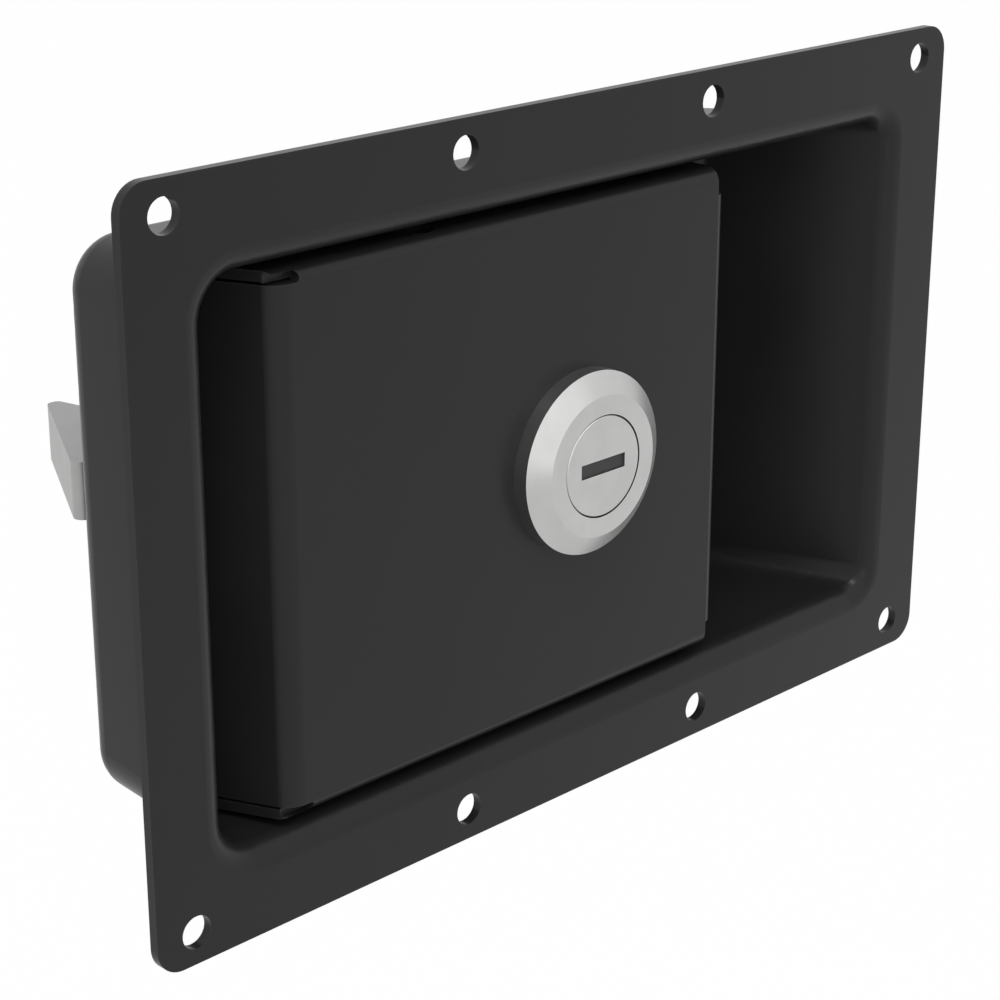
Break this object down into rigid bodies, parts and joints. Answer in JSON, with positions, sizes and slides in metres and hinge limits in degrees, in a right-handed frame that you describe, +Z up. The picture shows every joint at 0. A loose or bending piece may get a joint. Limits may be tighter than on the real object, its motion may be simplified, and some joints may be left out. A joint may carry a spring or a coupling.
{
  "type": "slam latch",
  "caption": "Black flush-mounted slam latch with a folded paddle handle, a keyed lock and a spring-loaded wedge bolt behind a rectangular dish.",
  "frame": {"origin": "centre of the eight-hole screw pattern, in the flange's rear face that seats on the panel", "axes": "+X to the right seen from the front, +Y into the panel behind the flange, +Z up; the paddle faces -Y"},
  "size_m": [0.165, 0.0704, 0.107],
  "materials": {
    "black_coat": "semi-gloss black powder coat",
    "satin_lock": "satin nickel plate",
    "bolt_steel": "satin zinc plate",
    "zinc_plate": "bright zinc plate",
    "bright_steel": "turned steel",
    "dark_spring_steel": "oiled spring steel",
    "spring_wire": "drawn wire",
    "white_nylon": "natural nylon",
    "wafer_brass": "stamped brass",
    "shutter_grey": "dull dark grey"
  },
  "bodies": {
    "case": {"dish": "black_coat", "hinge_bracket": "zinc_plate", "bracket_rivets": "zinc_plate", "pivot_pin": "bright_steel", "pivot_spacer_top": "white_nylon", "pivot_spacer_bottom": "white_nylon", "pin_clip_top": "dark_spring_steel", "pin_clip_bottom": "dark_spring_steel", "return_spring": "spring_wire", "bolt_housing": "zinc_plate", "housing_rivets": "zinc_plate", "guide_pins": "bright_steel", "bolt_spring": "spring_wire"},
    "handle": {"paddle": "black_coat", "release_lever": "black_coat", "lock_body": "satin_lock", "lock_washer": "zinc_plate", "lock_nut": "zinc_plate"},
    "cylinder": {"lock_plug": "satin_lock", "lock_wafers": "wafer_brass", "key_shutter": "shutter_grey", "lock_cam": "zinc_plate", "cam_screw": "zinc_plate"},
    "slider": {"bolt": "bolt_steel", "drive_pin": "bright_steel", "bolt_rod": "bright_steel", "rod_clip": "dark_spring_steel"}
  },
  "joints": [
    {"name": "paddle_hinge", "type": "hinge", "parent": "case", "child": "handle", "pos_m": [-0.046, 0.01, 0], "axis": [0, 0, -1], "range_deg": [0, 22], "stiffness_Nm_per_rad": 0.4, "springref_deg": -20.05},
    {"name": "bolt_slide", "type": "slide", "parent": "case", "child": "slider", "axis": [1, 0, 0], "range_m": [0, 0.0149], "deforming": ["bolt_spring"]},
    {"name": "lock_turn", "type": "hinge", "parent": "handle", "child": "cylinder", "pos_m": [-0.0012, 0.01, -0.0006], "axis": [0, -1, 0], "range_deg": [0, 90]}
  ],
  "couplings": [
    {"joint": "bolt_slide", "follows": "paddle_hinge", "m_per_rad": 0.0388}
  ]
}
